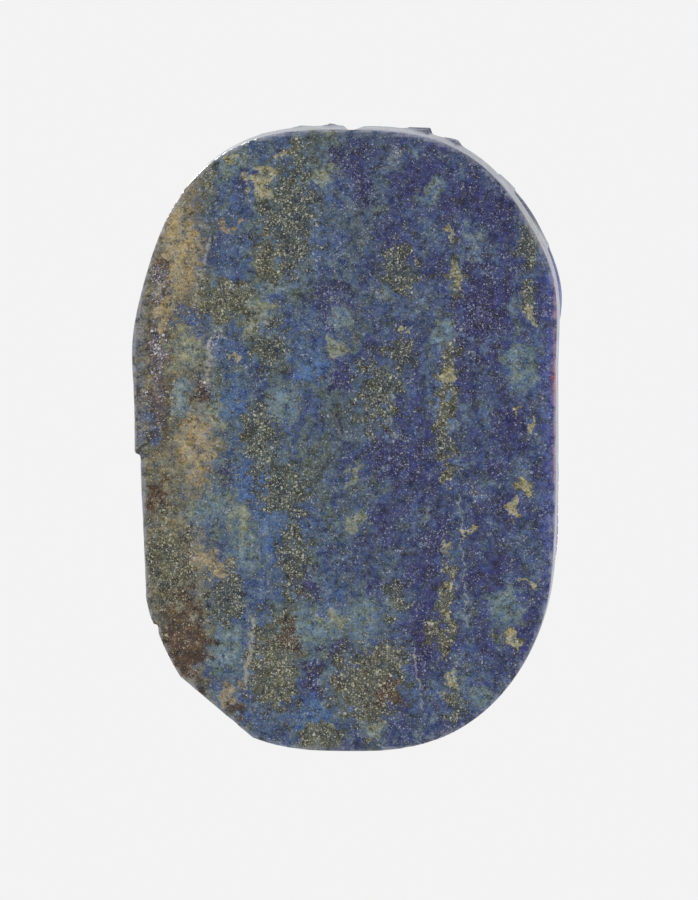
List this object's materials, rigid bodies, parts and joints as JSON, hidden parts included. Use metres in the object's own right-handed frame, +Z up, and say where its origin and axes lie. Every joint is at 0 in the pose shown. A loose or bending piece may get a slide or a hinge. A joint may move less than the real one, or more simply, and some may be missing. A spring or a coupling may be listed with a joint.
{
  "type": "scarab amulet",
  "caption": "Beetle-shaped amulet carved from one piece of blue stone, with a plain flat oval base and a lengthwise stringing hole.",
  "frame": {"origin": "centre of the flat base face, which the amulet lies on", "axes": "+Z up through the beetle's back, -Y towards the head, +Y towards the tail, +X to the side that is on the right when the base faces the viewer with the head up"},
  "size_m": [0.0202, 0.0296, 0.0135],
  "materials": {
    "lapis": "satin polished stone, mottled blue with olive-brown matrix and pale gold specks, matt ground base"
  },
  "bodies": {
    "root": {"scarab": "lapis"}
  },
  "joints": []
}
